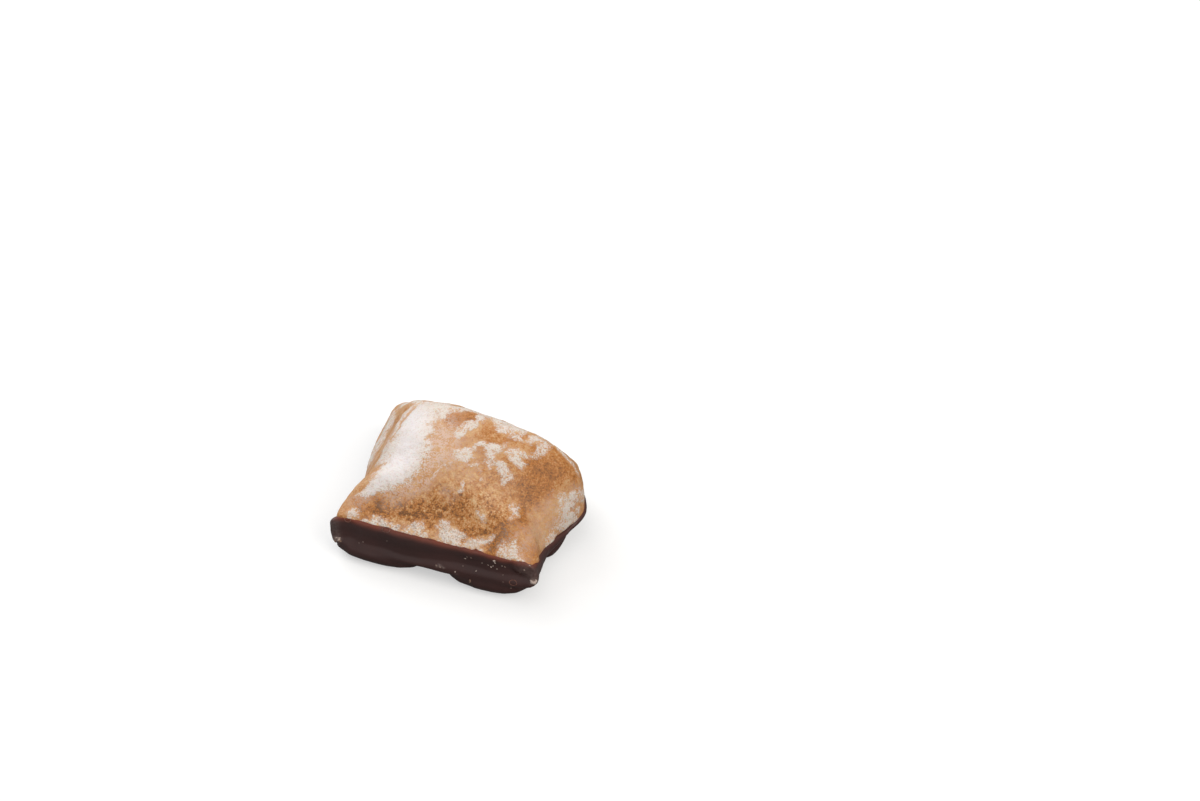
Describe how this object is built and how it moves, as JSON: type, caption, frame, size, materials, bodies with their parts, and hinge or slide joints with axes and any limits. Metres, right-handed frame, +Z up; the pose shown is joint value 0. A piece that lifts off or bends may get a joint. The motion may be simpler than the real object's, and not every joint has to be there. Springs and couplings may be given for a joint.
{
  "type": "chocolate-dipped gingerbread cookie",
  "caption": "Bite-size gingerbread pillow with a domed, sugar-glazed crust, straight pinched-off ends and drawn-in sides, standing on the dark chocolate that it was dipped in.",
  "frame": {"origin": "on the table under the middle of the cookie's outline, in the flat underside of the chocolate", "axes": "+X along the front cut, to the right; +Y along the dough strand, from the front cut to the back cut; +Z up"},
  "size_m": [0.0502, 0.043, 0.0227],
  "materials": {
    "crust": "caramel-brown baked crust under a thin sugar glaze that has dried to white grainy patches, satin",
    "chocolate": "dark chocolate, satin, reddish where it thins out at its upper edge"
  },
  "bodies": {
    "root": {"gingerbread": "crust", "chocolate_base": "chocolate"}
  },
  "joints": []
}
